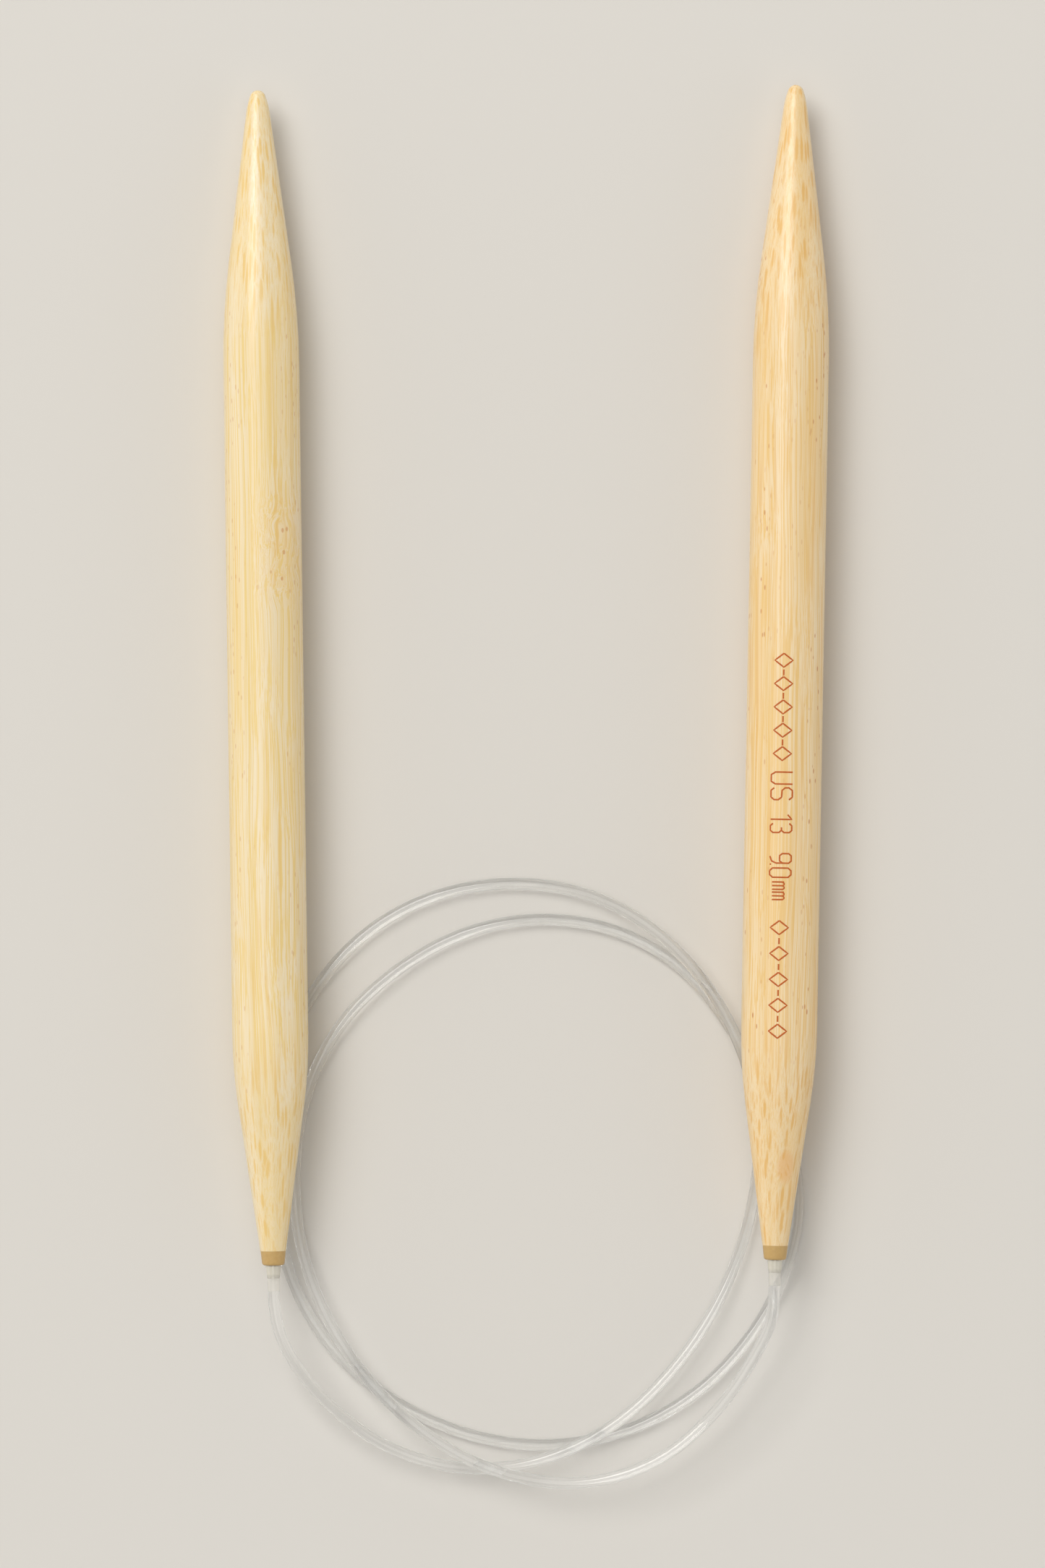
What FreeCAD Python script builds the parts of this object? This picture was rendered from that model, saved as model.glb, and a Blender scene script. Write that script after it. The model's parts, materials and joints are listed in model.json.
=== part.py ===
import FreeCAD, Part
import math
import os

import Sketcher

# A circular knitting needle: two round bamboo points joined by one clear flexible cord.
# Millimetres and degrees. +Z is up and both points lie roughly along +Y, nose forward, with
# the cord's turns between and behind them. The origin is on the table, at the middle of the box
# round the two points. Each point rests on its front shoulder, and its rear end is held up a
# little by the cord that passes under it.
#
# Every round piece is drawn along its own X axis: x = 0 is the bamboo's rear face, +X runs to
# the nose and -X to the cord.

SIZES = {
    # bamboo point
    "point_radius": 4.5,
    "point_length": 137.5,
    "front_taper": 26.6,
    "nose_radius": 0.95,
    "nose_blend": 10.0,
    "nose_turn": 20.0,
    "front_blend": 95.0,
    "rear_taper": 21.4,
    "rear_radius": 1.515,
    "rear_blend": 64.0,
    "socket_radius": 1.0,
    "socket_spare": 0.25,
    # collar pressed into the bamboo
    "collar_length": 1.7,
    "collar_step": 0.015,
    "collar_lip_radius": 1.3,
    "collar_round": 0.35,
    "spigot_length": 8.0,
    # anchor pin that turns in the collar and holds the cord's end
    "anchor_radius": 0.5,
    "anchor_grip": 1.0,
    "head_clearance": 0.15,
    "head_thickness": 0.7,
    "swivel_clearance": 0.05,
    "end_gap": 0.05,
    # clear tapered sleeve and cord
    "sleeve_length": 3.0,
    "sleeve_wide_radius": 0.93,
    "sleeve_lip": 0.02,
    "cord_radius": 0.7,
    "cord_lead": 3.6,
    # how the two points lie
    "point_spacing": 61.6,
    "point_stagger": 0.65,
    "left_lay": 0.8,
    "right_lay": 1.05,
    "rear_lift": 1.0,
}

# Values that follow from the ones above, as formulas of the sheet.
WORKED_OUT = {
    "socket_depth": "spigot_length + end_gap + head_thickness + socket_spare",
    "head_radius": "socket_radius - head_clearance",
    "collar_edge_radius": "rear_radius - collar_step",
    "collar_bore_radius": "anchor_radius + swivel_clearance",
    "head_start": "spigot_length + end_gap",
    "sleeve_start": "collar_length + end_gap",
    "cord_start": "sleeve_start + sleeve_length",
    "sleeve_narrow_radius": "cord_radius + sleeve_lip",
    "nose_edge": "nose_radius * sin(nose_turn * 1deg)",
    "nose_spread": "nose_blend - nose_radius",
    "nose_reach": "front_taper - nose_radius - nose_spread * sin(nose_turn * 1deg)",
    "nose_rise": "point_radius + nose_spread * cos(nose_turn * 1deg)",
    "nose_angle": "acos(nose_blend / sqrt(nose_rise ^ 2 + nose_reach ^ 2))",
    "front_slope": "nose_angle - atan(nose_reach / nose_rise)",
    "front_shoulder": "point_length - front_taper - front_blend * tan(front_slope / 2)",
    "shoulder_height": "front_blend - (front_blend - point_radius) * cos(rear_lift * 1deg)",
    "half_reach": "point_length / 2 * cos(rear_lift * 1deg)",
    "rear_height": "shoulder_height + front_shoulder * sin(rear_lift * 1deg)",
    "shoulder_reach": "(front_shoulder - point_length / 2) * cos(rear_lift * 1deg)",
    "sideways_shift": "shoulder_reach * (sin(left_lay * 1deg) - sin(right_lay * 1deg)) / 2",
    "left_middle": "sideways_shift - point_spacing / 2",
    "right_middle": "sideways_shift + point_spacing / 2",
    "left_forward": "(collar_length - point_stagger) / 2",
    "right_forward": "(collar_length + point_stagger) / 2",
}

# The cord's route between its two straight leads: two and a half loose turns. It starts high at
# the left sleeve, rests on its own earlier turn at the crossings, lies on the table under both
# points, and climbs to the right sleeve.
ROUTE = [
    (-27.6, -81.6, 5.7),
    (-23.2, -87.0, 4.4),
    (-16.3, -92.1, 3.2),
    (-7.2, -94.7, 2.4),
    (2.5, -93.5, 2.3),
    (11.0, -89.1, 2.3),
    (18.0, -82.3, 1.8),
    (23.2, -74.4, 1.2),
    (26.5, -65.8, 0.9),
    (28.0, -56.4, 1.2),
    (26.8, -47.2, 2.1),
    (22.9, -38.5, 2.3),
    (16.8, -31.2, 2.2),
    (8.8, -26.2, 1.2),
    (-0.6, -24.5, 0.7),
    (-10.1, -25.7, 0.7),
    (-18.5, -29.9, 0.7),
    (-25.1, -36.8, 0.7),
    (-29.1, -45.4, 0.7),
    (-30.4, -54.8, 0.7),
    (-30.1, -64.3, 0.7),
    (-27.6, -73.5, 0.7),
    (-22.5, -81.3, 0.7),
    (-15.0, -87.2, 0.7),
    (-6.2, -90.9, 0.7),
    (3.2, -92.0, 0.7),
    (12.5, -90.1, 0.7),
    (20.8, -85.4, 0.7),
    (27.2, -78.5, 0.7),
    (31.6, -69.9, 0.7),
    (32.8, -60.6, 0.7),
    (30.0, -51.6, 0.7),
    (25.2, -43.2, 0.7),
    (19.8, -35.5, 0.7),
    (12.0, -30.5, 0.7),
    (2.5, -28.7, 0.7),
    (-6.8, -30.2, 0.7),
    (-15.2, -34.7, 0.8),
    (-22.2, -41.2, 1.0),
    (-26.4, -49.6, 1.3),
    (-27.8, -59.0, 1.7),
    (-26.9, -68.5, 2.1),
    (-23.5, -77.3, 2.3),
    (-18.0, -85.0, 2.5),
    (-10.8, -91.2, 3.5),
    (-2.3, -95.2, 4.3),
    (7.2, -96.2, 4.4),
    (16.2, -93.3, 4.8),
    (23.2, -86.8, 5.6),
    (27.7, -79.7, 6.4),
]
ARC_SHARE = 0.45  # of the shorter run beside a bend, the length that its arc takes up
VOLUME_SLACK = 0.01  # how far the cord's volume may be from its section times its length

doc = FreeCAD.newDocument("circular_needle")


def make_sheet():
    """The spreadsheet that drives every piece, with one named cell to a row."""
    sheet = doc.addObject("Spreadsheet::Sheet", "dims")
    rows = list(SIZES.items()) + [(name, "=" + rule) for name, rule in WORKED_OUT.items()]
    for row, (name, value) in enumerate(rows, start=1):
        sheet.set(f"A{row}", name)
        sheet.setAlias(f"B{row}", name)
        sheet.set(f"B{row}", str(value))
    doc.recompute()
    return sheet


dims = make_sheet()


def value(name):
    """A cell's number, without its unit."""
    cell = dims.get(name)
    return float(getattr(cell, "Value", cell))


def number(rule):
    """What a sum of cells comes to now, for a sketch's first guess: terms such as a + b - c."""
    total = 0.0
    sign = 1
    for word in rule.split():
        if word in "+-":
            sign = 1 if word == "+" else -1
        else:
            total += sign * (float(word) if word[0].isdigit() else value(word))
            sign = 1
    return total


def in_sheet(rule):
    """The same sum, with each cell named in full."""
    return " ".join(word if word in "+-" or word[0].isdigit() else f"dims.{word}"
                    for word in rule.split())


def origin_part(body, role):
    """One of a body's own origin planes or axes."""
    return next(part for part in body.Origin.OriginFeatures if part.Role == role)


def new_body(label):
    body = doc.addObject("PartDesign::Body", label)
    body.Label = label
    return body


def new_sketch(body, name, plane):
    sketch = body.newObject("Sketcher::SketchObject", name)
    sketch.AttachmentSupport = (origin_part(body, plane), "")
    sketch.MapMode = "FlatFace"
    return sketch


def drive(sketch, constraint, rule):
    """Adds a constraint whose size is a sum of cells."""
    index = sketch.addConstraint(constraint)
    sketch.setExpression(f"Constraints[{index}]", in_sheet(rule))


def pin_end(sketch, line, end, along, out):
    """Places one end of a line: along the piece's axis, and out from it. An empty rule is 0."""
    if along:
        drive(sketch, Sketcher.Constraint("DistanceX", -1, 1, line, end, number(along)), along)
    else:
        sketch.addConstraint(Sketcher.Constraint("PointOnObject", line, end, -2))
    if out:
        drive(sketch, Sketcher.Constraint("DistanceY", -1, 1, line, end, number(out)), out)
    else:
        sketch.addConstraint(Sketcher.Constraint("PointOnObject", line, end, -1))


def outline(body, name, corners):
    """A closed outline of straight lines through (along, out) corners, each a sum of cells."""
    sketch = new_sketch(body, name, "XY_Plane")
    places = [FreeCAD.Vector(number(along or "0"), number(out or "0"), 0) for along, out in corners]
    for start, end in zip(places, places[1:] + places[:1]):
        sketch.addGeometry(Part.LineSegment(start, end))
    last = len(corners) - 1
    for line in range(len(corners)):
        follower = 0 if line == last else line + 1
        sketch.addConstraint(Sketcher.Constraint("Coincident", line, 2, follower, 1))
        pin_end(sketch, line, 1, *corners[line])
    return sketch


def spin(body, sketch):
    """Turns an outline once round the piece's own axis."""
    turned = body.newObject("PartDesign::Revolution", sketch.Name + "_turned")
    turned.Profile = sketch
    turned.ReferenceAxis = (sketch, ["H_Axis"])
    turned.Angle = 360
    sketch.Visibility = False
    doc.recompute()
    return turned


def point_outline(body, name):
    """A point's outline: rear face, rear taper, shank, front taper and round nose."""
    sketch = new_sketch(body, name, "XY_Plane")
    shank = value("point_radius")
    rear_blend = value("rear_blend")
    front_blend = value("front_blend")
    front = value("front_shoulder")
    slope = math.radians(value("front_slope"))
    rear_slope = math.atan((shank - value("rear_radius")) / value("rear_taper"))
    rear = value("rear_taper") + rear_blend * math.tan(rear_slope / 2)
    length = value("point_length")
    nose = value("nose_radius")
    nose_middle = length - nose
    nose_turn = math.radians(value("nose_turn"))
    nose_blend = value("nose_blend")
    spread = value("nose_spread")
    up = math.pi / 2

    def spot(x, y):
        return FreeCAD.Vector(x, y, 0)

    def arc(middle, radius, start, end):
        circle = Part.Circle(middle, FreeCAD.Vector(0, 0, 1), radius)
        return Part.ArcOfCircle(circle, start, end)

    rear_arc = arc(spot(rear, shank - rear_blend), rear_blend, up, up + rear_slope)
    front_arc = arc(spot(front, shank - front_blend), front_blend, up - slope, up)
    blend_middle = spot(nose_middle - spread * math.sin(nose_turn), -spread * math.cos(nose_turn))
    nose_shoulder = arc(blend_middle, nose_blend, up - nose_turn, up - slope)
    nose_arc = arc(spot(nose_middle, 0), nose, 0, up - nose_turn)
    shapes = [
        Part.LineSegment(spot(0, 0), spot(0, value("rear_radius"))),
        Part.LineSegment(spot(0, value("rear_radius")), rear_arc.EndPoint),
        rear_arc,
        Part.LineSegment(rear_arc.StartPoint, front_arc.EndPoint),
        front_arc,
        Part.LineSegment(front_arc.StartPoint, nose_shoulder.EndPoint),
        nose_shoulder,
        nose_arc,
        Part.LineSegment(spot(length, 0), spot(0, 0)),
    ]
    end_face, rear_cone, rear_bend, side, front_bend, front_cone, tip_bend, tip, axis = (
        sketch.addGeometry(shape) for shape in shapes)
    corner_rear = sketch.addGeometry(Part.Point(spot(value("rear_taper"), shank)), True)
    corner_front = sketch.addGeometry(Part.Point(spot(length - value("front_taper"), shank)), True)

    def add(*rule):
        sketch.addConstraint(Sketcher.Constraint(*rule))

    add("Coincident", end_face, 1, -1, 1)
    add("PointOnObject", end_face, 2, -2)
    add("Coincident", end_face, 2, rear_cone, 1)
    add("Tangent", rear_cone, 2, rear_bend, 2)
    add("Tangent", rear_bend, 1, side, 1)
    add("Horizontal", side)
    add("Tangent", side, 2, front_bend, 2)
    add("Tangent", front_bend, 1, front_cone, 1)
    add("Tangent", front_cone, 2, tip_bend, 2)
    add("Tangent", tip_bend, 1, tip, 2)
    add("PointOnObject", tip, 3, -1)
    add("Coincident", tip, 1, axis, 1)
    add("PointOnObject", axis, 1, -1)
    add("Coincident", axis, 2, end_face, 1)
    for corner, cone in ((corner_rear, rear_cone), (corner_front, front_cone)):
        add("PointOnObject", corner, 1, cone)
        add("PointOnObject", corner, 1, side)
    sizes = [
        ("DistanceY", (-1, 1, end_face, 2), "rear_radius"),
        ("DistanceY", (-1, 1, side, 1), "point_radius"),
        ("DistanceX", (-1, 1, axis, 1), "point_length"),
        ("DistanceX", (-1, 1, corner_rear, 1), "rear_taper"),
        ("DistanceX", (-1, 1, corner_front, 1), "point_length - front_taper"),
        ("Radius", (rear_bend,), "rear_blend"),
        ("Radius", (front_bend,), "front_blend"),
        ("Radius", (tip_bend,), "nose_blend"),
        ("Radius", (tip,), "nose_radius"),
        ("DistanceX", (tip, 3, tip, 2), "nose_edge"),
    ]
    for kind, ends, rule in sizes:
        drive(sketch, Sketcher.Constraint(kind, *ends, number(rule)), rule)
    return sketch


def drill_socket(body):
    """The blind socket in the rear face that takes the collar's spigot and the anchor's head."""
    whole = body.Shape.Volume
    sketch = new_sketch(body, body.Label + "_socket_circle", "YZ_Plane")
    circle = Part.Circle(FreeCAD.Vector(0, 0, 0), FreeCAD.Vector(0, 0, 1), value("socket_radius"))
    ring = sketch.addGeometry(circle)
    sketch.addConstraint(Sketcher.Constraint("Coincident", ring, 3, -1, 1))
    drive(sketch, Sketcher.Constraint("Radius", ring, value("socket_radius")), "socket_radius")
    socket = body.newObject("PartDesign::Pocket", body.Label + "_socket")
    socket.Profile = sketch
    socket.Type = "Length"
    socket.Reversed = True
    socket.setExpression("Length", in_sheet("socket_depth"))
    sketch.Visibility = False
    doc.recompute()
    drilled = whole - body.Shape.Volume
    wanted = math.pi * value("socket_radius") ** 2 * value("socket_depth")
    if abs(drilled - wanted) > VOLUME_SLACK * wanted:
        raise RuntimeError(f"{body.Label}: the socket took {drilled:.3f} mm3, not {wanted:.3f}")


def lay_down(body, side):
    """Places a piece on its needle's axis: turned to its lay, nose down by the rear lift."""
    turn = "+" if side == "left" else "-"
    lay = f"dims.{side}_lay * 1deg"
    sideways = f"dims.{side}_middle {turn} dims.half_reach * sin({lay})"
    forward = f"dims.{side}_forward - dims.half_reach * cos({lay})"
    base = f"vector({sideways}; {forward}; dims.rear_height)"
    turned = f"rotation(90deg {turn} {lay}; dims.rear_lift * 1deg; 0deg)"
    body.setExpression("Placement", f"placement({base}; {turned})")


def make_point(side):
    """A bamboo point, with tapers at both ends, a round nose and a socket at the rear."""
    body = new_body(f"{side}_point")
    spin(body, point_outline(body, f"{side}_point_outline"))
    drill_socket(body)
    return body


def make_collar(side):
    """The small tapered collar behind the bamboo, with its spigot in the socket and its bore."""
    body = new_body(f"{side}_collar")
    corners = [
        ("- collar_length", "collar_bore_radius"),
        ("- collar_length", "collar_lip_radius"),
        ("", "collar_edge_radius"),
        ("", "socket_radius"),
        ("spigot_length", "socket_radius"),
        ("spigot_length", "collar_bore_radius"),
    ]
    turned = spin(body, outline(body, f"{side}_collar_outline", corners))
    rim = widest_rim(turned.Shape, -value("collar_length"))
    rounded = body.newObject("PartDesign::Fillet", f"{side}_collar_rounded")
    rounded.Base = (turned, [rim])
    rounded.setExpression("Radius", in_sheet("collar_round"))
    doc.recompute()
    return body


def widest_rim(shape, along):
    """The name of the largest round edge that lies at this place along the axis."""
    rims = []
    for index, edge in enumerate(shape.Edges, start=1):
        box = edge.BoundBox
        if abs(box.XMin - along) < 1e-4 and abs(box.XMax - along) < 1e-4:
            rims.append((box.YLength, f"Edge{index}"))
    return max(rims)[1]


def make_anchor(side):
    """The headed pin that turns in the collar's bore; its other end is held in the sleeve."""
    body = new_body(f"{side}_anchor")
    corners = [
        ("- sleeve_start - anchor_grip", ""),
        ("- sleeve_start - anchor_grip", "anchor_radius"),
        ("head_start", "anchor_radius"),
        ("head_start", "head_radius"),
        ("head_start + head_thickness", "head_radius"),
        ("head_start + head_thickness", ""),
    ]
    spin(body, outline(body, f"{side}_anchor_outline", corners))
    return body


def make_sleeve(side):
    """The clear tapered sleeve between the collar and the cord, moulded round the anchor."""
    body = new_body(f"{side}_sleeve")
    corners = [
        ("- sleeve_start", "anchor_radius"),
        ("- sleeve_start", "sleeve_wide_radius"),
        ("- cord_start", "sleeve_narrow_radius"),
        ("- cord_start", ""),
        ("- sleeve_start - anchor_grip", ""),
        ("- sleeve_start - anchor_grip", "anchor_radius"),
    ]
    spin(body, outline(body, f"{side}_sleeve_outline", corners))
    return body


def bend(before, corner, after):
    """An arc that rounds a corner of the route: (start, middle, end, radius, turn in degrees)."""
    into = corner - before
    away = after - corner
    reach = ARC_SHARE * min(into.Length, away.Length)
    into.normalize()
    away.normalize()
    turn = into.getAngle(away)
    radius = reach / math.tan(turn / 2)
    inward = away - into
    inward.normalize()
    middle = corner + inward * (radius / math.cos(turn / 2) - radius)
    return corner - into * reach, middle, corner + away * reach, radius, math.degrees(turn)


def make_cord(left_sleeve, right_sleeve):
    """The clear cord as a round tube along its route, from one sleeve's end to the other's.

    Its first and last runs carry straight on from their sleeves, so that the faces meet.
    """
    mouth = FreeCAD.Vector(-value("cord_start"), 0, 0)
    lead = FreeCAD.Vector(-value("cord_start") - value("cord_lead"), 0, 0)
    places = [left_sleeve.Placement.multVec(spot) for spot in (mouth, lead)]
    places += [FreeCAD.Vector(*place) for place in ROUTE]
    places += [right_sleeve.Placement.multVec(spot) for spot in (lead, mouth)]
    edges = []
    bends = []
    here = places[0]
    for before, corner, after in zip(places, places[1:], places[2:]):
        start, middle, end, radius, turn = bend(before, corner, after)
        edges.append(Part.LineSegment(here, start).toShape())
        edges.append(Part.Arc(start, middle, end).toShape())
        bends.append((radius, turn))
        here = end
    edges.append(Part.LineSegment(here, places[-1]).toShape())
    route = Part.Wire(edges)
    section = Part.Circle(places[0], places[1] - places[0], value("cord_radius")).toShape()
    tube = route.makePipeShell([Part.Wire([section])], True, False)
    if tube.Volume < 0:
        tube = tube.reversed()
    cord = doc.addObject("Part::Feature", "cord")
    cord.Label = "cord"
    cord.Shape = tube
    cord.Placement = FreeCAD.Placement()
    wanted = math.pi * value("cord_radius") ** 2 * route.Length
    if abs(tube.Volume - wanted) > VOLUME_SLACK * wanted:
        raise RuntimeError(f"the cord holds {tube.Volume:.1f} mm3, not {wanted:.1f}")
    print("cord length", round(route.Length, 1), "volume", round(tube.Volume, 1))
    print("cord radii", [round(radius, 1) for radius, _ in bends])
    print("cord turns", [round(turn) for _, turn in bends])
    return cord


def check(pieces):
    """Stops unless every object worked and every piece is one valid solid."""
    for thing in doc.Objects:
        if "Invalid" in thing.State or "Error" in thing.State:
            raise RuntimeError(f"{thing.Label} failed: {thing.State}")
    for piece in pieces:
        shape = piece.Shape
        if shape.isNull() or not shape.isValid() or len(shape.Solids) != 1:
            raise RuntimeError(f"{piece.Label} is not one valid solid")


def write(pieces):
    os.makedirs("parts", exist_ok=True)
    for piece in pieces:
        piece.Shape.exportStep(f"parts/{piece.Label}.step")
        box = piece.Shape.BoundBox
        low = [round(v, 2) for v in (box.XMin, box.YMin, box.ZMin)]
        high = [round(v, 2) for v in (box.XMax, box.YMax, box.ZMax)]
        print(piece.Label, "from", low, "to", high, "volume", round(piece.Shape.Volume, 2))


pieces = []
sleeves = {}
for side in ("left", "right"):
    made = [make_point(side), make_collar(side), make_anchor(side), make_sleeve(side)]
    for piece in made:
        lay_down(piece, side)
    sleeves[side] = made[-1]
    pieces += made
doc.recompute()
pieces.append(make_cord(sleeves["left"], sleeves["right"]))
doc.recompute()
check(pieces)
write(pieces)
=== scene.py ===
import json
import math

import bmesh
import bpy
from mathutils import Euler, Matrix, Vector


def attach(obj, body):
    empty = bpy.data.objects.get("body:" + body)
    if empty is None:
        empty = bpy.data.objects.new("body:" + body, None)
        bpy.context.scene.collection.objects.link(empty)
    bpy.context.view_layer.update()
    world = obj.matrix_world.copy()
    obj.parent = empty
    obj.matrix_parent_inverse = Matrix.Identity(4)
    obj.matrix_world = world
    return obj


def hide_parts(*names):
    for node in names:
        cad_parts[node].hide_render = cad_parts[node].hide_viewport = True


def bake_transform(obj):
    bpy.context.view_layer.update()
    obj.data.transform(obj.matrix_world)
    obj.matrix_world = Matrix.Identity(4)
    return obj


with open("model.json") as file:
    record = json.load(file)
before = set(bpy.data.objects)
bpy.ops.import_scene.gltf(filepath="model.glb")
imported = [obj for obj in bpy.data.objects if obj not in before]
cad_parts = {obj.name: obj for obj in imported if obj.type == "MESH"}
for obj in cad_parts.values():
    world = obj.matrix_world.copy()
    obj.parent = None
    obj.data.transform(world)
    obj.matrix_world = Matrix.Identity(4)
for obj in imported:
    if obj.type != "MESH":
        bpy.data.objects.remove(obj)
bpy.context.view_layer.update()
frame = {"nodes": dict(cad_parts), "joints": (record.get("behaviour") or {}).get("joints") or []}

# A circular knitting needle, in metres: two bamboo points, tan collars, milky sleeves and one
# clear cord in two and a half loose turns. +Z is up, and the points' noses look along +Y.

MM = 0.001
SIDES = ("left", "right")
JOINTS = {joint["name"]: joint for joint in frame["joints"]}

# Where things are along a needle, in millimetres from the bamboo's rear face: + to the nose.
SHANK_RADIUS = 4.5
REAR_TAPER = 22.0
FRONT_TAPER = 110.0
SLEEVE_FRONT = -1.75
SLEEVE_MIDDLE = -3.25
SLEEVE_REAR = -4.75
CORD_LEAD = -8.35
CORD_DIAMETER = 1.4

# The camera's view, in millimetres: its middle, and how much it takes in from top to bottom.
VIEW_MIDDLE = (-0.43, -12.99)
VIEW_ABOVE_FLOOR = 900.7
VIEW_DISTANCE = 900.0
VIEW_HEIGHT = 186.6
SENSOR_HEIGHT = 24.0

# The marking's cells and strokes, and how far round the shank its middle line is, in millimetres.
SIGN_HEIGHT = 2.55
STROKE_RADIUS = 0.095
STROKE_PROUD = 0.12
STROKE_STEP = 0.35
MARKING_SIDEWAYS = 0.35

LAMP_COLOR = (1.0, 0.985, 0.965)
ROOM_COLOR = (1.0, 0.985, 0.96, 1.0)
ROOM_AT_HORIZON = 1.15
ROOM_OVERHEAD = 0.14
LAMPS_LOOK_AT = (0.0, -0.013, 0.0)
FLOOR_HALF_WIDTH = 1.5

# The cord's route in millimetres, between the two straight leads out of its sleeves.
ROUTE = [
    (-27.6, -81.6, 5.7),
    (-23.2, -87.0, 4.4),
    (-16.3, -92.1, 3.2),
    (-7.2, -94.7, 2.4),
    (2.5, -93.5, 2.3),
    (11.0, -89.1, 2.3),
    (18.0, -82.3, 1.8),
    (23.2, -74.4, 1.2),
    (26.5, -65.8, 0.9),
    (28.0, -56.4, 1.2),
    (26.8, -47.2, 2.1),
    (22.9, -38.5, 2.3),
    (16.8, -31.2, 2.2),
    (8.8, -26.2, 1.2),
    (-0.6, -24.5, 0.7),
    (-10.1, -25.7, 0.7),
    (-18.5, -29.9, 0.7),
    (-25.1, -36.8, 0.7),
    (-29.1, -45.4, 0.7),
    (-30.4, -54.8, 0.7),
    (-30.1, -64.3, 0.7),
    (-27.6, -73.5, 0.7),
    (-22.5, -81.3, 0.7),
    (-15.0, -87.2, 0.7),
    (-6.2, -90.9, 0.7),
    (3.2, -92.0, 0.7),
    (12.5, -90.1, 0.7),
    (20.8, -85.4, 0.7),
    (27.2, -78.5, 0.7),
    (31.6, -69.9, 0.7),
    (32.8, -60.6, 0.7),
    (30.0, -51.6, 0.7),
    (25.2, -43.2, 0.7),
    (19.8, -35.5, 0.7),
    (12.0, -30.5, 0.7),
    (2.5, -28.7, 0.7),
    (-6.8, -30.2, 0.7),
    (-15.2, -34.7, 0.8),
    (-22.2, -41.2, 1.0),
    (-26.4, -49.6, 1.3),
    (-27.8, -59.0, 1.7),
    (-26.9, -68.5, 2.1),
    (-23.5, -77.3, 2.3),
    (-18.0, -85.0, 2.5),
    (-10.8, -91.2, 3.5),
    (-2.3, -95.2, 4.3),
    (7.2, -96.2, 4.4),
    (16.2, -93.3, 4.8),
    (23.2, -86.8, 5.6),
    (27.7, -79.7, 6.4),
]


def needle_frame(side):
    """A needle's own frame: origin at the bamboo's rear face, +X along it to the nose, +Z up."""
    joint = JOINTS[f"{side}_twist"]
    along = Vector(joint["axis"])
    turn = Euler((0.0, math.asin(-along.z), math.atan2(along.y, along.x)))
    return Vector(joint["pos_m"]), turn


def on_axis(side, along):
    """A place on a needle's axis, this many millimetres in front of its rear face."""
    base, turn = needle_frame(side)
    return base + turn.to_matrix() @ Vector((along * MM, 0.0, 0.0))


def set_camera():
    """Straight down, with the noses at the top of the picture."""
    camera = bpy.data.objects.new("camera", bpy.data.cameras.new("camera"))
    bpy.context.scene.collection.objects.link(camera)
    camera.location = (VIEW_MIDDLE[0] * MM, VIEW_MIDDLE[1] * MM, VIEW_ABOVE_FLOOR * MM)
    camera.data.sensor_fit = "VERTICAL"
    camera.data.sensor_height = SENSOR_HEIGHT
    camera.data.lens = SENSOR_HEIGHT * VIEW_DISTANCE / VIEW_HEIGHT
    camera.data.clip_start = 0.01
    bpy.context.scene.camera = camera


def link(name, data):
    piece = bpy.data.objects.new(name, data)
    bpy.context.scene.collection.objects.link(piece)
    return piece


def make_cord():
    """The clear cord, as one smooth line through its route with a round section."""
    curve = bpy.data.curves.new("clear_cord", "CURVE")
    curve.dimensions = "3D"
    places = [on_axis("left", SLEEVE_REAR), on_axis("left", CORD_LEAD)]
    places += [Vector(place) * MM for place in ROUTE]
    places += [on_axis("right", CORD_LEAD), on_axis("right", SLEEVE_REAR)]
    spline = curve.splines.new("NURBS")
    spline.points.add(len(places) - 1)
    for point, place in zip(spline.points, places):
        point.co = (*place, 1.0)
    spline.order_u = 3
    spline.use_endpoint_u = True
    spline.resolution_u = 24
    curve.bevel_depth = CORD_DIAMETER / 2 * MM
    curve.bevel_resolution = 8
    curve.use_fill_caps = True
    return link("clear_cord", curve)


set_camera()
cord = make_cord()


# ---------------------------------------------------------------- finishes


OBJECT_PLACE = 3  # the Texture Coordinate node's Object output


class Socket:
    """A shader output that adds, takes away and multiplies like a number."""

    def __init__(self, finish, source):
        self.finish = finish
        self.source = source

    def calc(self, operation, *values):
        return self.finish.node("Math", {"operation": operation}, *values)

    def __add__(self, other):
        return self.calc("ADD", self, other)

    def __radd__(self, other):
        return self.calc("ADD", other, self)

    def __sub__(self, other):
        return self.calc("SUBTRACT", self, other)

    def __rsub__(self, other):
        return self.calc("SUBTRACT", other, self)

    def __mul__(self, other):
        return self.calc("MULTIPLY", self, other)

    def __rmul__(self, other):
        return self.calc("MULTIPLY", other, self)


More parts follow.
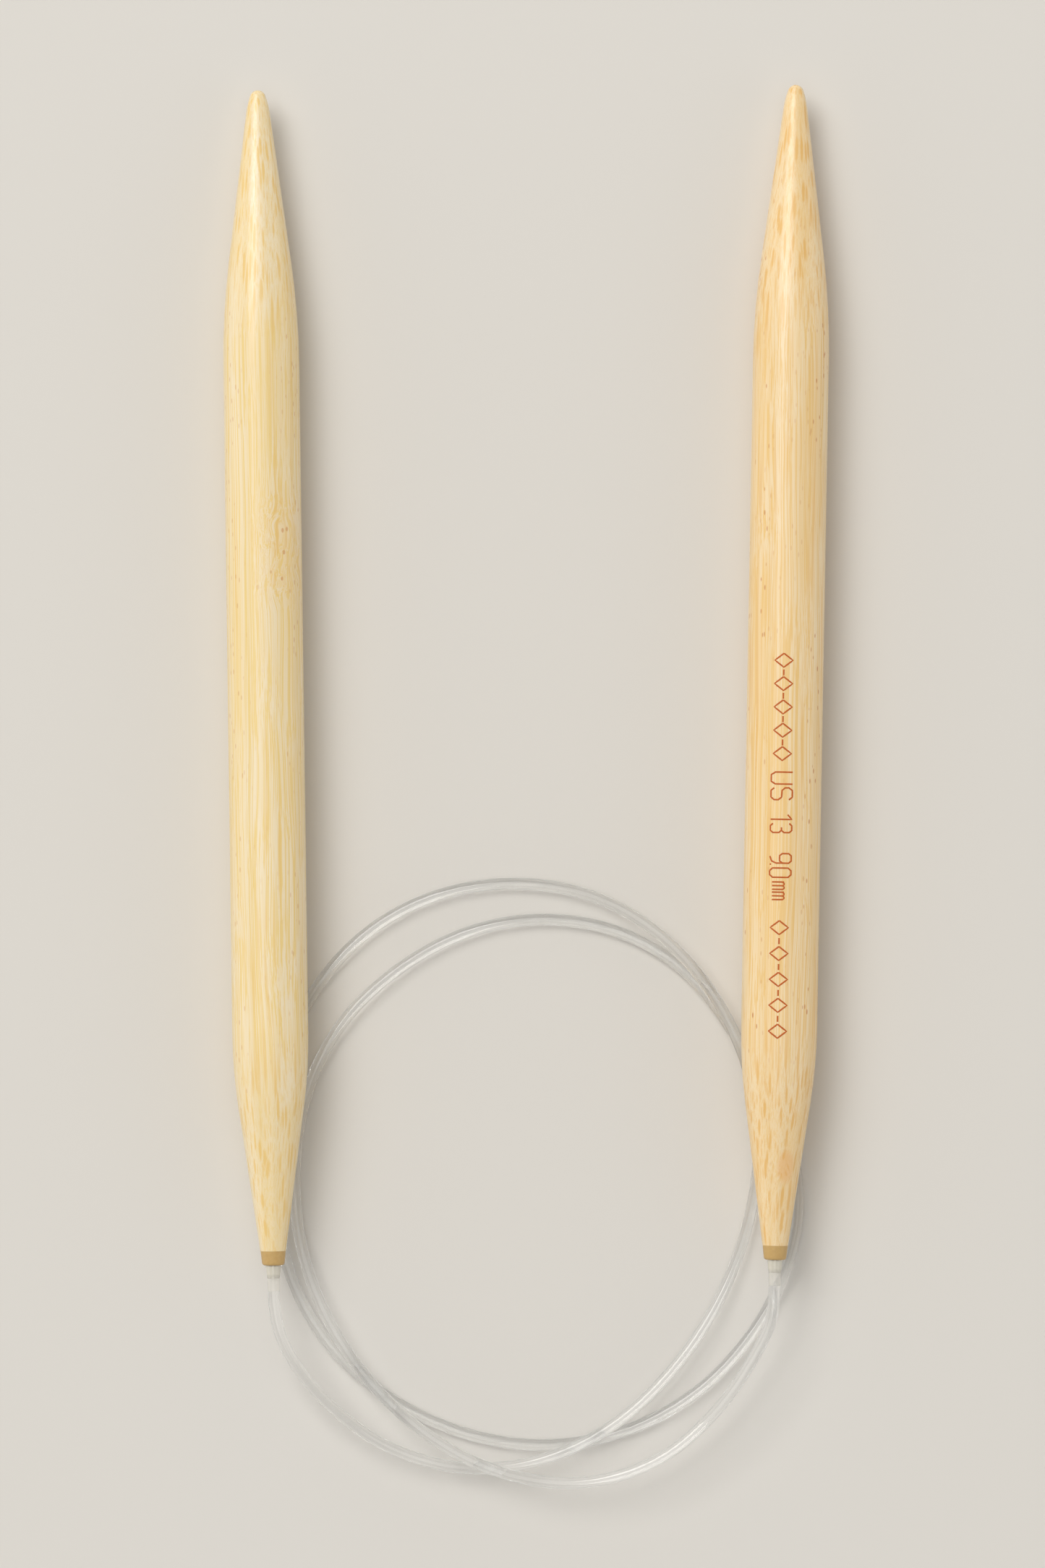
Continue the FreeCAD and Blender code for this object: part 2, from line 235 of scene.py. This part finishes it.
class Finish:
    """A material whose nodes are added one call at a time."""

    def __init__(self, name):
        self.material = bpy.data.materials.new(name)
        self.material.use_nodes = True
        self.tree = self.material.node_tree
        self.tree.nodes.clear()

    def node(self, kind, settings=None, *values, out=0, **named):
        """Adds a node: its settings first, then its sockets, by position or by name."""
        made = self.tree.nodes.new("ShaderNode" + kind)
        for key, setting in (settings or {}).items():
            setattr(made, key, setting)
        for index, given in enumerate(values):
            self.feed(made.inputs[index], given)
        for key, given in named.items():
            self.feed(made.inputs[key.replace("_", " ")], given)
        return Socket(self, made.outputs[out]) if made.outputs else None

    def feed(self, socket, given):
        if isinstance(given, Socket):
            self.tree.links.new(given.source, socket)
        elif given is not None:
            socket.default_value = given

    def band(self, value, low, high):
        """0 below low, 1 above high, and smooth between them. High may be the smaller one."""
        settings = {"interpolation_type": "SMOOTHSTEP"}
        return self.node("MapRange", settings, value, low, high, 0.0, 1.0)

    def mix(self, share, first, second):
        """A colour between two others."""
        # the colour sockets of a Mix node: its share is 0, its colours are 6 and 7, and it gives 2
        made = self.tree.nodes.new("ShaderNodeMix")
        made.data_type = "RGBA"
        for index, given in ((0, share), (6, first), (7, second)):
            self.feed(made.inputs[index], given)
        return Socket(self, made.outputs[2])

    def surface(self, **named):
        """The principled surface, and the material's output."""
        shader = self.node("BsdfPrincipled", None, **named)
        self.node("OutputMaterial", None, shader)
        return self.material


def tone(red, green, blue):
    """A colour from 0 to 255 on screen, as the shader's own numbers."""
    def plain(share):
        return share / 12.92 if share <= 0.04045 else ((share + 0.055) / 1.055) ** 2.4
    return (*(plain(part / 255) for part in (red, green, blue)), 1.0)


def needle_place(finish, side):
    """Three sockets: the place along the needle, across it and above its axis, in millimetres."""
    base, turn = needle_frame(side)
    spot = finish.node("TexCoord", None, out=OBJECT_PLACE)
    local = finish.node("Mapping", {"vector_type": "TEXTURE"}, spot, base, turn, (MM, MM, MM))
    parts = finish.node("SeparateXYZ", None, local).source.node.outputs
    return [Socket(finish, part) for part in parts]


def grain_of(finish, scale, detail=3.0, rough=0.55):
    """A fine even noise all through a piece, this many waves to the metre."""
    spot = finish.node("TexCoord", None, out=OBJECT_PLACE)
    return finish.node("TexNoise", None, Vector=spot, Scale=scale, Detail=detail, Roughness=rough)


def bamboo(side, pale, golden, line, dash, seed):
    """Polished bamboo. Its vascular bundles run the whole length of the needle.

    On the shank they show as fine long lines, and where a taper cuts across them they show as
    short golden dashes. Both come from one solid pattern in the needle's own frame.
    """
    finish = Finish(f"{side}_bamboo")
    node, band, mix = finish.node, finish.band, finish.mix
    along, across, above = needle_place(finish, side)

    def at(x_scale, y_scale, shift=0.0, y=across, z=above):
        """The place, stretched along the needle and across it."""
        return node("CombineXYZ", None, along * x_scale + (seed + shift),
                    y * y_scale, z * y_scale)

    def noise(place, detail=2.0, rough=0.5):
        return node("TexNoise", None, Vector=place, Scale=1.0, Detail=detail, Roughness=rough)

    def cells(place):
        return node("TexVoronoi", {"feature": "F1"}, Vector=place, Scale=1.0, Randomness=1.0)

    def near(x, y, z, long, wide):
        """1 close to a place on the needle, 0 from this far along it or across it."""
        steps = ((along - x) * (1 / long), (across - y) * (1 / wide), (above - z) * (1 / wide))
        reach = steps[0] * steps[0] + steps[1] * steps[1] + steps[2] * steps[2]
        return band(reach, 1.0, 0.25)

    # the bundles wander a little on their way along the needle
    swirl_y = across + (noise(at(0.022, 0.14, 3.0)) - 0.5) * 2.6
    swirl_z = above + (noise(at(0.022, 0.14, 9.0)) - 0.5) * 2.6
    if side == "left":
        # an old joint of the cane, where they cross over each other
        knot = band(along, 74.0, 80.0) * band(along, 92.0, 86.0) * band(across, 2.0, -1.0)
        knot_tint = 0.06
        speckled = 0.35
    else:
        # a small knot low on the rear taper
        knot = near(9.4, -1.0, 2.6, 2.4, 1.3)
        knot_tint = 0.45
        speckled = 0.8
    swirl_y = swirl_y + (noise(at(0.20, 0.40, 21.0), 1.0) - 0.5) * knot * 2.4
    swirl_z = swirl_z + (noise(at(0.20, 0.40, 31.0), 1.0) - 0.5) * knot * 2.4

    fibre = noise(at(0.02, 10.0, 7.0, swirl_y, swirl_z), 2.0, 0.6)
    ragged = (fibre - 0.5) * 0.45
    wide = band(cells(at(0.014, 1.9, 5.0, swirl_y, swirl_z)) + ragged, 0.42, 0.22)
    thin = band(cells(at(0.020, 3.1, 35.0, swirl_y, swirl_z)) + ragged, 0.40, 0.20)
    bundle = node("Math", {"operation": "MAXIMUM"}, wide, thin * 0.6)
    strands = noise(at(0.007, 4.6, 1.0, swirl_y, swirl_z), 3.0, 0.7)
    lines = band(strands, 0.50, 0.57)
    hair = band(fibre, 0.50, 0.62)

    # how much of the bundles the tapers cut across
    taper = (band(along, REAR_TAPER + 4.0, REAR_TAPER - 3.0)
             + band(along, FRONT_TAPER - 4.0, FRONT_TAPER + 4.0))
    warm = band(noise(at(0.035, 0.28, 13.0)), 0.40, 0.62)
    patches = band(noise(at(0.05, 0.55, 19.0)), 0.42, 0.58)

    color = mix(warm * 0.7, pale, golden)
    color = mix(lines * (0.85 - taper * 0.55), color, line)
    color = mix(hair * 0.45, color, line)
    share = taper * 0.85 + patches * (1.0 - taper) * 0.55 + knot * 0.3
    color = mix(bundle * share, color, dash)

    specks = band(cells(at(0.55, 1.7, 17.0)), 0.22, 0.12)
    flanks = band(across * across, 4.0, 9.0)
    spotted = specks * band(noise(at(0.05, 0.4, 41.0)), 0.46, 0.56) * (0.25 + flanks * 0.75)
    color = mix(spotted * speckled, color, tone(200, 120, 58))
    pits = band(cells(at(0.45, 0.7, 23.0)), 0.17, 0.08)
    color = mix(pits * knot * 0.6, color, tone(206, 134, 66))
    color = mix(knot * knot_tint, color, tone(234, 172, 98))

    height = fibre * 0.4 + lines * 0.3 - bundle * 0.3
    bump = node("Bump", None, Strength=0.08, Distance=0.05 * MM, Height=height)
    shine = 0.44 + fibre * 0.10 + bundle * 0.06
    return finish.surface(Base_Color=color, Roughness=shine, Normal=bump,
                          Coat_Weight=0.8, Coat_Roughness=0.27, IOR=1.5)


def collar_plastic():
    """Tan moulded plastic with a satin skin."""
    finish = Finish("tan_plastic")
    node, mix = finish.node, finish.mix
    grain = grain_of(finish, 2600.0, rough=0.6)
    color = mix(grain, tone(188, 152, 92), tone(204, 170, 110))
    bump = node("Bump", None, Strength=0.15, Distance=0.02 * MM, Height=grain)
    return finish.surface(Base_Color=color, Roughness=0.38 + grain * 0.12, Normal=bump)


def clear_nylon():
    """Clear nylon with a trace of milk in it. Part of the light goes straight through."""
    finish = Finish("clear_nylon")
    haze = grain_of(finish, 700.0)
    color = finish.mix(haze, (0.96, 0.97, 0.96, 1.0), (1.0, 1.0, 1.0, 1.0))
    return finish.surface(Base_Color=color, Roughness=haze * 0.02,
                          IOR=1.22, Transmission_Weight=0.97, Alpha=0.78,
                          Coat_Weight=1.0, Coat_Roughness=0.03, Coat_IOR=1.6,
                          Sheen_Weight=0.25, Sheen_Roughness=0.3)


def hazy_nylon():
    """The cord's nylon with more milk in it, for the thin end of the sleeves."""
    finish = Finish("hazy_nylon")
    haze = grain_of(finish, 1200.0)
    color = finish.mix(haze, tone(240, 238, 230), tone(250, 248, 242))
    return finish.surface(Base_Color=color, Roughness=0.04 + haze * 0.04,
                          IOR=1.03, Transmission_Weight=0.72, Alpha=0.62,
                          Coat_Weight=1.0, Coat_Roughness=0.04, Coat_IOR=1.55,
                          Sheen_Weight=0.2, Sheen_Roughness=0.3)


def milky_nylon(side):
    """The same nylon where it is thicker and cloudy, so that it hides the pin's head."""
    finish = Finish(f"{side}_milky_nylon")
    along = needle_place(finish, side)[0]
    haze = grain_of(finish, 1200.0)
    color = finish.mix(haze, tone(208, 203, 187), tone(220, 215, 200))
    cloud = finish.band(along, SLEEVE_MIDDLE, SLEEVE_MIDDLE + 0.6)
    return finish.surface(Base_Color=color, Roughness=0.10 + cloud * 0.1 + haze * 0.06,
                          IOR=1.4, Alpha=0.40 + cloud * 0.56,
                          Coat_Weight=1.0, Coat_Roughness=0.04, Coat_IOR=1.55)


def drawn_steel():
    """The hidden anchor pins' bright wire."""
    finish = Finish("drawn_steel")
    lines = grain_of(finish, 4000.0, 2.0, 0.5)
    return finish.surface(Base_Color=(0.62, 0.62, 0.61, 1.0), Metallic=1.0,
                          Roughness=0.25 + lines * 0.15)


def burnt_line():
    """Fine lines burnt into the bamboo."""
    finish = Finish("burnt_line")
    char = grain_of(finish, 2500.0, rough=0.6)
    color = finish.mix(char, tone(178, 76, 8), tone(204, 104, 22))
    return finish.surface(Base_Color=color, Roughness=0.6)


def plain_floor():
    """A plain pale floor."""
    finish = Finish("pale_floor")
    return finish.surface(Base_Color=(0.725, 0.70, 0.654, 1.0), Roughness=0.85)


def cover(piece, material):
    """Gives a piece this material all over."""
    piece.data.materials.clear()
    piece.data.materials.append(material)


# ---------------------------------------------------------------- pieces


CREASE = 0.7


def sleeve_radius(along):
    """The sleeve's radius in millimetres: wide at the collar, down to the cord in a soft curve."""
    share = (along - SLEEVE_FRONT) / (SLEEVE_REAR - SLEEVE_FRONT)
    return 0.705 + 0.22 * (1.0 - share) ** 2.2


def turned(name, side, profile, steps=48):
    """A round piece from (along, out) places in millimetres, spun about a needle's axis.

    Its rims, where the skin turns by more than CREASE radians, are sharp.
    """
    shape = bmesh.new()
    ring = [shape.verts.new((along * MM, out * MM, 0.0)) for along, out in profile]
    edges = [shape.edges.new(pair) for pair in zip(ring, ring[1:])]
    bmesh.ops.spin(shape, geom=ring + edges, cent=(0, 0, 0), axis=(1, 0, 0), angle=2 * math.pi,
                   steps=steps, use_merge=True, use_duplicate=False)
    bmesh.ops.remove_doubles(shape, verts=shape.verts, dist=1e-7)
    bmesh.ops.recalc_face_normals(shape, faces=shape.faces)
    base, turn = needle_frame(side)
    shape.transform(Matrix.Translation(base) @ turn.to_matrix().to_4x4())
    for face in shape.faces:
        face.smooth = True
    for edge in shape.edges:
        edge.smooth = edge.calc_face_angle(0.0) < CREASE
    mesh = bpy.data.meshes.new(name)
    shape.to_mesh(mesh)
    shape.free()
    return link(name, mesh)


def make_sleeve(side, cloudy, hazy):
    """A sleeve in two halves, front and rear, which meet at its middle."""
    halves = []
    for name, material, front, rear in (
            ("sleeve_front", cloudy, SLEEVE_FRONT, SLEEVE_MIDDLE),
            ("sleeve_rear", hazy, SLEEVE_MIDDLE, SLEEVE_REAR)):
        stations = [front + (rear - front) * step / 10 for step in range(11)]
        profile = [(front, 0.0)] + [(s, sleeve_radius(s)) for s in stations] + [(rear, 0.0)]
        half = turned(f"{side}_{name}", side, profile)
        cover(half, material)
        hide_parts(f"{side}_sleeve")
        halves.append(half)
    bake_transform(halves[0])
    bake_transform(halves[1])
    return halves


# Single-stroke signs on a cell one unit high: (right, up) places, one list to each stroke.
SIGNS = {
    "U": [[(0, 1), (0, 0.2), (0.12, 0), (0.43, 0), (0.55, 0.2), (0.55, 1)]],
    "S": [[(0.55, 0.84), (0.43, 1), (0.12, 1), (0, 0.84), (0, 0.66), (0.12, 0.52), (0.43, 0.5),
           (0.55, 0.35), (0.55, 0.15), (0.43, 0), (0.12, 0), (0, 0.15)]],
    "1": [[(0.1, 0.8), (0.32, 1), (0.32, 0)]],
    "3": [[(0, 0.88), (0.1, 1), (0.32, 1), (0.42, 0.88), (0.42, 0.64), (0.32, 0.52), (0.18, 0.52)],
          [(0.32, 0.52), (0.42, 0.4), (0.42, 0.12), (0.32, 0), (0.1, 0), (0, 0.12)]],
    "9": [[(0.44, 0.6), (0.34, 0.46), (0.1, 0.46), (0, 0.58), (0, 0.88), (0.1, 1), (0.34, 1),
           (0.44, 0.88), (0.44, 0.3), (0.34, 0.08), (0.12, 0)]],
    "0": [[(0.12, 0), (0, 0.14), (0, 0.86), (0.12, 1), (0.31, 1), (0.43, 0.86), (0.43, 0.14),
           (0.31, 0), (0.12, 0)]],
    ".": [[(0, 0), (0, 0.06)]],
    "m": [[(0, 0.13), (0, 0.69)],
          [(0, 0.62), (0.06, 0.69), (0.12, 0.69), (0.17, 0.62), (0.17, 0.13)],
          [(0.17, 0.62), (0.23, 0.69), (0.29, 0.69), (0.34, 0.62), (0.34, 0.13)]],
    "diamond": [[(0, 0.5), (0.32, 0.92), (0.64, 0.5), (0.32, 0.08), (0, 0.5)]],
    "bar": [[(0, 0.5), (0.28, 0.5)]],
}
# Each sign, and where its cell starts along the needle, in millimetres from its rear face.
MARKS = (
    [("diamond", 69.9 - 2.75 * step) for step in range(5)]
    + [("bar", 68.0 - 2.75 * step) for step in range(4)]
    + [("U", 55.9), ("S", 54.05), ("1", 51.15), ("3", 49.85)]
    + [("9", 46.3), (".", 45.05), ("0", 44.6), ("m", 42.95), ("m", 41.75)]
    + [("diamond", 38.4 - 3.05 * step) for step in range(5)]
    + [("bar", 36.35 - 3.05 * step) for step in range(4)]
)


def stroke_places(stroke, start):
    """A stroke's places on the flat cell, close enough together to be bent round the shank."""
    corners = [Vector((start - right * SIGN_HEIGHT, (up - 0.5) * SIGN_HEIGHT))
               for right, up in stroke]
    places = [corners[0]]
    for here, there in zip(corners, corners[1:]):
        parts = max(1, math.ceil((there - here).length / STROKE_STEP))
        places += [here.lerp(there, part / parts) for part in range(1, parts + 1)]
    return places


def make_marking(side, material):
    """The size marking, burnt into the shank along the needle and bent round it."""
    curve = bpy.data.curves.new("marking_lines", "CURVE")
    curve.dimensions = "3D"
    curve.bevel_depth = STROKE_RADIUS
    curve.bevel_resolution = 2
    curve.use_fill_caps = True
    for sign, start in MARKS:
        for stroke in SIGNS[sign]:
            places = stroke_places(stroke, start)
            spline = curve.splines.new("POLY")
            spline.points.add(len(places) - 1)
            for point, place in zip(spline.points, places):
                point.co = (*place, 0.0, 1.0)
    lines = link("marking_lines", curve)
    depsgraph = bpy.context.evaluated_depsgraph_get()
    mesh = bpy.data.meshes.new_from_object(lines.evaluated_get(depsgraph))
    bpy.data.objects.remove(lines)
    mesh.name = "size_marking"
    base, turn = needle_frame(side)
    for vertex in mesh.vertices:
        along, up, out = vertex.co
        angle = (up - MARKING_SIDEWAYS) / SHANK_RADIUS
        radius = SHANK_RADIUS + STROKE_PROUD * out
        on_shank = Vector((along, -radius * math.sin(angle), radius * math.cos(angle)))
        vertex.co = base + turn.to_matrix() @ (on_shank * MM)
    piece = link("size_marking", mesh)
    cover(piece, material)
    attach(piece, f"{side}_needle")
    return piece


def dress():
    """Every finish on its piece, and the pieces that replace plain solids."""
    nodes = frame["nodes"]
    cover(nodes["left_point"], bamboo("left", tone(240, 223, 188), tone(238, 214, 162),
                                      tone(236, 205, 126), tone(234, 196, 116), 0.0))
    cover(nodes["right_point"], bamboo("right", tone(241, 217, 174), tone(238, 206, 150),
                                       tone(235, 194, 118), tone(230, 180, 98), 57.0))
    tan = collar_plastic()
    steel = drawn_steel()
    hazy = hazy_nylon()
    cover(cord, clear_nylon())
    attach(cord, "cord_loops")
    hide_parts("cord")
    sleeves = []
    for side in SIDES:
        cover(nodes[f"{side}_collar"], tan)
        cover(nodes[f"{side}_anchor"], steel)
        sleeves += make_sleeve(side, milky_nylon(side), hazy)
    make_marking("right", burnt_line())


# ---------------------------------------------------------------- studio


def add_lamp(name, toward, distance, size, power):
    """A square softbox that looks at the needle's middle from this direction."""
    lamp = bpy.data.lights.new(name, "AREA")
    lamp.shape = "SQUARE"
    lamp.size = size
    lamp.energy = power
    lamp.color = LAMP_COLOR
    box = link(name, lamp)
    away = Vector(toward).normalized()
    box.location = Vector(LAMPS_LOOK_AT) + away * distance
    box.rotation_euler = away.to_track_quat("Z", "Y").to_euler()
    return box


def make_studio():
    """The floor, a large soft key, a panel overhead, a weak fill and a room with bright walls."""
    shape = bmesh.new()
    bmesh.ops.create_grid(shape, x_segments=1, y_segments=1, size=FLOOR_HALF_WIDTH)
    mesh = bpy.data.meshes.new("floor")
    shape.to_mesh(mesh)
    shape.free()
    floor = link("floor", mesh)
    cover(floor, plain_floor())
    add_lamp("key", (-0.40, 0.48, 0.78), 3.0, 1.7, 50.0)
    add_lamp("overhead_panel", (-0.12, 0.10, 0.98), 4.0, 4.0, 52.0)
    add_lamp("fill", (0.75, -0.25, 0.61), 3.0, 1.8, 5.0)
    world = bpy.data.worlds.new("studio")
    world.use_nodes = True
    tree = world.node_tree
    # the room is brightest round its walls
    facing = tree.nodes.new("ShaderNodeTexCoord").outputs["Generated"]
    height = tree.nodes.new("ShaderNodeSeparateXYZ")
    walls = tree.nodes.new("ShaderNodeMapRange")
    walls.interpolation_type = "SMOOTHSTEP"
    for socket, value in zip(walls.inputs, (None, 0.0, 0.75, ROOM_AT_HORIZON, ROOM_OVERHEAD)):
        if value is not None:
            socket.default_value = value
    tree.links.new(facing, height.inputs[0])
    tree.links.new(height.outputs["Z"], walls.inputs[0])
    background = tree.nodes["Background"]
    background.inputs["Color"].default_value = ROOM_COLOR
    tree.links.new(walls.outputs[0], background.inputs["Strength"])
    bpy.context.scene.world = world
    bpy.context.scene.view_settings.view_transform = "Standard"


dress()
make_studio()
